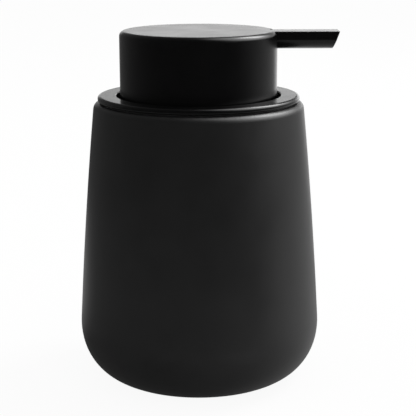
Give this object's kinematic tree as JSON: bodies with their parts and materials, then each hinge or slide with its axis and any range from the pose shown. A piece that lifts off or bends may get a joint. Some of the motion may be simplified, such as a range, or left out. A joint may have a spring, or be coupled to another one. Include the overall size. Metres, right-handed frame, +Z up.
{
  "type": "soap pump dispenser",
  "caption": "Black soap dispenser: a tapered round jar closed by a push-in pump, whose wide round head is pressed down into its collar to send soap out of a straight spout.",
  "frame": {"origin": "centre of the base pad's underside, on the surface that the dispenser stands on", "axes": "+Z up along the jar's axis, +X along the spout"},
  "size_m": [0.096, 0.09, 0.13],
  "materials": {
    "jar_stoneware": "matte black glaze",
    "black_plastic": "fine satin moulding",
    "pad_rubber": "matte",
    "seal_silicone": "matte",
    "pump_plastic": "natural polypropylene",
    "piston_plastic": "natural polyethylene",
    "tube_plastic": "natural polyethylene",
    "spring_steel": "drawn stainless wire",
    "ball_steel": "polished"
  },
  "bodies": {
    "jar_body": {"jar": "jar_stoneware", "base_pad": "pad_rubber"},
    "pump_body": {"collar": "black_plastic", "neck_seal": "seal_silicone", "housing_gasket": "seal_silicone", "pump_housing": "pump_plastic", "closure_nut": "pump_plastic", "chaplet": "pump_plastic", "dip_tube": "tube_plastic"},
    "inlet_valve": {"inlet_ball": "ball_steel"},
    "spring_turn": {"return_spring": "spring_steel"},
    "plunger": {"stem": "pump_plastic", "stem_plug": "pump_plastic", "actuator_hub": "black_plastic", "head_shell": "black_plastic", "spout": "black_plastic", "nozzle_tube": "tube_plastic"},
    "piston_body": {"piston": "piston_plastic"}
  },
  "joints": [
    {"name": "pump_lift", "type": "slide", "parent": "jar_body", "child": "pump_body", "axis": [0, 0, 1], "range_m": [0, 0.1]},
    {"name": "inlet_lift", "type": "slide", "parent": "pump_body", "child": "inlet_valve", "axis": [0, 0, 1], "range_m": [0, 0.002]},
    {"name": "head_swivel", "type": "hinge", "parent": "pump_body", "child": "spring_turn", "pos_m": [0, 0, 0.0521], "axis": [0, 0, 1], "continuous": true},
    {"name": "pump_press", "type": "slide", "parent": "spring_turn", "child": "plunger", "axis": [0, 0, -1], "range_m": [0, 0.014], "stiffness_N_per_m": 500, "springref_m": -0.01, "deforming": ["return_spring"]},
    {"name": "piston_valve", "type": "slide", "parent": "plunger", "child": "piston_body", "axis": [0, 0, 1], "range_m": [0, 0.0008]}
  ]
}
